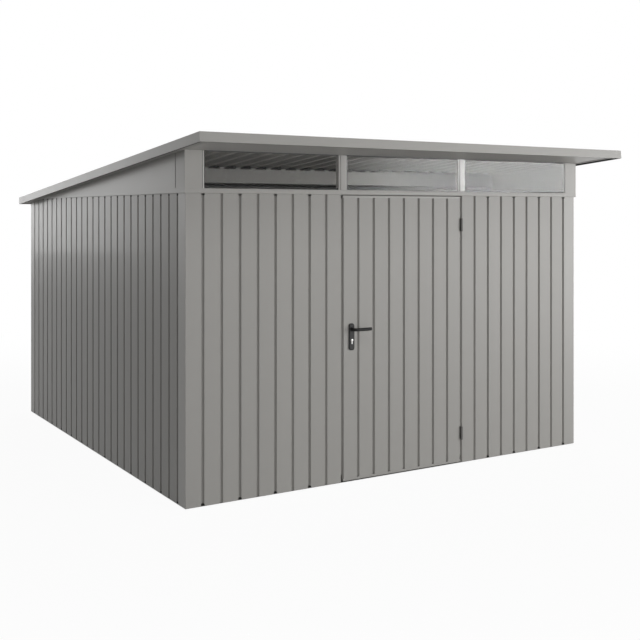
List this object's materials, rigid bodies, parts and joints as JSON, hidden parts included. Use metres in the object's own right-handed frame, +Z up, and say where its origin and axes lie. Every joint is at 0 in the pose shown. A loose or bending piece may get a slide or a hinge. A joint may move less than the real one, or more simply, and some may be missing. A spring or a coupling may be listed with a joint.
{
  "type": "metal storage shed",
  "caption": "Square pent-roof shed in grooved grey sheet steel, with a glazed strip under a deep front overhang and a hinged door with a lever handle and lock.",
  "frame": {"origin": "ground level under the middle of the roof's outline", "axes": "+Z up, front wall and door towards -Y, +X to the right seen from the front"},
  "size_m": [3.398, 3.6794, 2.2002],
  "materials": {
    "cladding": "satin grey coil coating",
    "trim": "satin grey coil coating",
    "roof_sheet": "satin grey coil coating",
    "galvanised": "galvanised",
    "glazing": "clear",
    "handle_black": "satin black",
    "lock_metal": "satin nickel",
    "hinge_steel": "satin dark grey"
  },
  "bodies": {
    "shed": {"base_rail_front": "galvanised", "base_rail_right": "galvanised", "base_rail_back": "galvanised", "base_rail_left": "galvanised", "corner_front_left": "trim", "corner_front_right": "trim", "corner_back_right": "trim", "corner_back_left": "trim", "front_wall_left": "cladding", "front_wall_right": "cladding", "right_wall": "cladding", "back_wall": "cladding", "left_wall": "cladding", "door_posts": "galvanised", "clerestory_sill": "trim", "head_rail_right": "trim", "head_rail_back": "trim", "head_rail_left": "trim", "clerestory_post_left": "trim", "clerestory_post_right": "trim", "mullions": "trim", "pane_left": "glazing", "pane_middle": "glazing", "pane_right": "glazing", "gable_left": "trim", "gable_right": "trim", "roof_bearers": "galvanised", "purlins": "galvanised", "purlin_cleats": "galvanised", "roof_sheets": "roof_sheet", "fascia_front": "trim", "fascia_right": "trim", "eaves_back": "trim", "fascia_left": "trim", "front_soffit": "trim", "hinge_pin_halves": "hinge_steel", "strike_plate": "galvanised"},
    "door": {"door_cladding": "cladding", "door_caps": "trim", "door_frame": "galvanised", "hinge_door_halves": "hinge_steel", "handle_plate_outside": "handle_black", "handle_plate_inside": "handle_black", "lock_cylinder": "lock_metal", "lock_front": "galvanised"},
    "handle": {"lever_outside": "handle_black", "lever_inside": "handle_black"}
  },
  "joints": [
    {"name": "door_hinge", "type": "hinge", "parent": "shed", "child": "door", "pos_m": [0.5, -1.4765, 0], "axis": [0, 0, 1], "range_deg": [0, 110]},
    {"name": "lever_turn", "type": "hinge", "parent": "door", "child": "handle", "pos_m": [-0.43, -1.4675, 0.99], "axis": [0, 1, 0], "range_deg": [0, 45], "stiffness_Nm_per_rad": 1.2, "springref_deg": -17.19}
  ]
}
